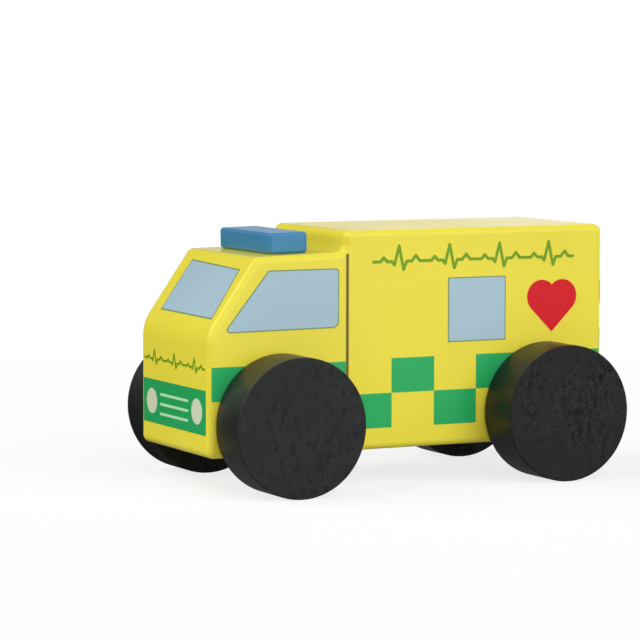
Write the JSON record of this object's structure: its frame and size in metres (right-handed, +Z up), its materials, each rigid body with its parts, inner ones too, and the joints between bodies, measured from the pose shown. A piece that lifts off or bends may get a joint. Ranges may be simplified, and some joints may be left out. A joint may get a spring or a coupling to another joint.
{
  "type": "toy ambulance",
  "caption": "Wooden push-along toy ambulance: a painted block body with printed windows and livery, a blue roof beacon and solid wheels on wooden axles.",
  "frame": {"origin": "on the floor, below the middle of the body, at the bottom centre of the bounding box", "axes": "+Z is up, -Y is forwards (the nose faces -Y) and +X is the left side of the vehicle"},
  "size_m": [0.0904, 0.1502, 0.0862],
  "materials": {
    "yellow_paint": "satin",
    "blue_paint": "satin",
    "black_stain": "matte",
    "bare_wood": "matte",
    "window_ink": "satin",
    "outline_ink": "satin",
    "green_ink": "satin",
    "line_ink": "satin",
    "red_ink": "satin",
    "cream_ink": "satin"
  },
  "bodies": {
    "body": {"beacon_block": "blue_paint", "body_block": "yellow_paint", "grille_bar_print": "cream_ink", "headlamp_print": "cream_ink", "left_beacon_dowel": "bare_wood", "left_box_window_outline_print": "outline_ink", "left_box_window_print": "window_ink", "left_cab_band_print": "green_ink", "left_cab_window_outline_print": "outline_ink", "left_cab_window_print": "window_ink", "left_check_print": "green_ink", "left_door_line_print": "line_ink", "left_heart_print": "red_ink", "left_pulse_print": "green_ink", "nose_panel_print": "green_ink", "nose_pulse_print": "green_ink", "right_beacon_dowel": "bare_wood", "right_box_window_outline_print": "outline_ink", "right_box_window_print": "window_ink", "right_cab_band_print": "green_ink", "right_cab_window_outline_print": "outline_ink", "right_cab_window_print": "window_ink", "right_check_print": "green_ink", "right_door_line_print": "line_ink", "right_heart_print": "red_ink", "right_pulse_print": "green_ink", "tail_check_print": "green_ink", "tail_door_line_print": "line_ink", "tail_lamp_print": "red_ink", "tail_window_outline_print": "outline_ink", "tail_window_print": "window_ink", "windscreen_outline_print": "outline_ink", "windscreen_print": "window_ink"},
    "front_wheelset": {"front_axle": "bare_wood", "front_left_wheel": "black_stain", "front_right_wheel": "black_stain"},
    "rear_wheelset": {"rear_axle": "bare_wood", "rear_left_wheel": "black_stain", "rear_right_wheel": "black_stain"}
  },
  "joints": [
    {"name": "front_axle_turn", "type": "hinge", "parent": "body", "child": "front_wheelset", "pos_m": [0, -0.0494, 0.02325], "axis": [1, 0, 0], "continuous": true},
    {"name": "rear_axle_turn", "type": "hinge", "parent": "body", "child": "rear_wheelset", "pos_m": [0, 0.0515, 0.02325], "axis": [1, 0, 0], "continuous": true}
  ]
}
